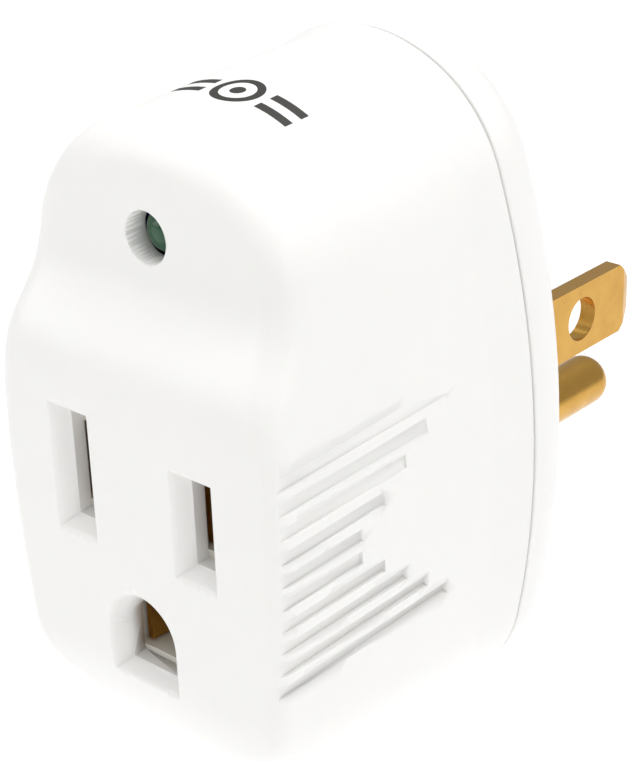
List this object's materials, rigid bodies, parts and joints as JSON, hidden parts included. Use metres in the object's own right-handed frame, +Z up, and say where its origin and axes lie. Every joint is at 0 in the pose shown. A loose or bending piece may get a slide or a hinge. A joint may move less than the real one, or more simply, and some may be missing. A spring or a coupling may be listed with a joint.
{
  "type": "plug-in surge tap",
  "caption": "Plug-in wall tap: grounded outlet and indicator lamp on the front of a white oval body, grounded brass plug on the back, surge circuit inside.",
  "frame": {"origin": "on the flat face that meets the wall plate, midway between the two blades at their centre height", "axes": "+Z up, +Y into the wall along the blades, +X to the right as the outlet is looked at"},
  "size_m": [0.033, 0.0599, 0.0568],
  "materials": {
    "housing": "satin",
    "cover": "satin",
    "brass_plug": "polished",
    "spring_brass": "satin",
    "strip_brass": "satin",
    "rivet_brass": "satin",
    "carrier": "matte",
    "holder": "matte",
    "fibre_sheet": "matte",
    "board": "matte",
    "varistor": "gloss",
    "fuse_case": "satin",
    "sleeve": "matte",
    "resistor": "matte",
    "diode": "matte",
    "lamp_lens": "gloss",
    "lamp_holder": "matte",
    "tinned_wire": "satin",
    "solder": "satin",
    "wire_white": "satin",
    "wire_black": "satin",
    "wire_green": "satin",
    "screw_steel": "satin"
  },
  "bodies": {
    "root": {"front_housing": "housing", "rear_cover": "cover", "neutral_blade": "brass_plug", "line_blade": "brass_plug", "ground_pin": "brass_plug", "neutral_contact": "spring_brass", "line_contact": "spring_brass", "ground_contact": "spring_brass", "neutral_strap": "strip_brass", "line_strap": "strip_brass", "ground_strap": "strip_brass", "contact_rivets": "rivet_brass", "blade_rivets": "rivet_brass", "contact_carrier": "carrier", "blade_holder": "holder", "insulating_sheet": "fibre_sheet", "circuit_board": "board", "varistor_line_neutral": "varistor", "varistor_line_ground": "varistor", "varistor_neutral_ground": "varistor", "thermal_fuse": "fuse_case", "fuse_sleeve": "sleeve", "lamp_resistor": "resistor", "lamp_diode": "diode", "indicator_lamp": "lamp_lens", "lamp_holder": "lamp_holder", "component_leads": "tinned_wire", "solder_joints": "solder", "neutral_wire": "wire_white", "line_wire": "wire_black", "ground_wire": "wire_green", "cover_screws": "screw_steel"}
  },
  "joints": []
}
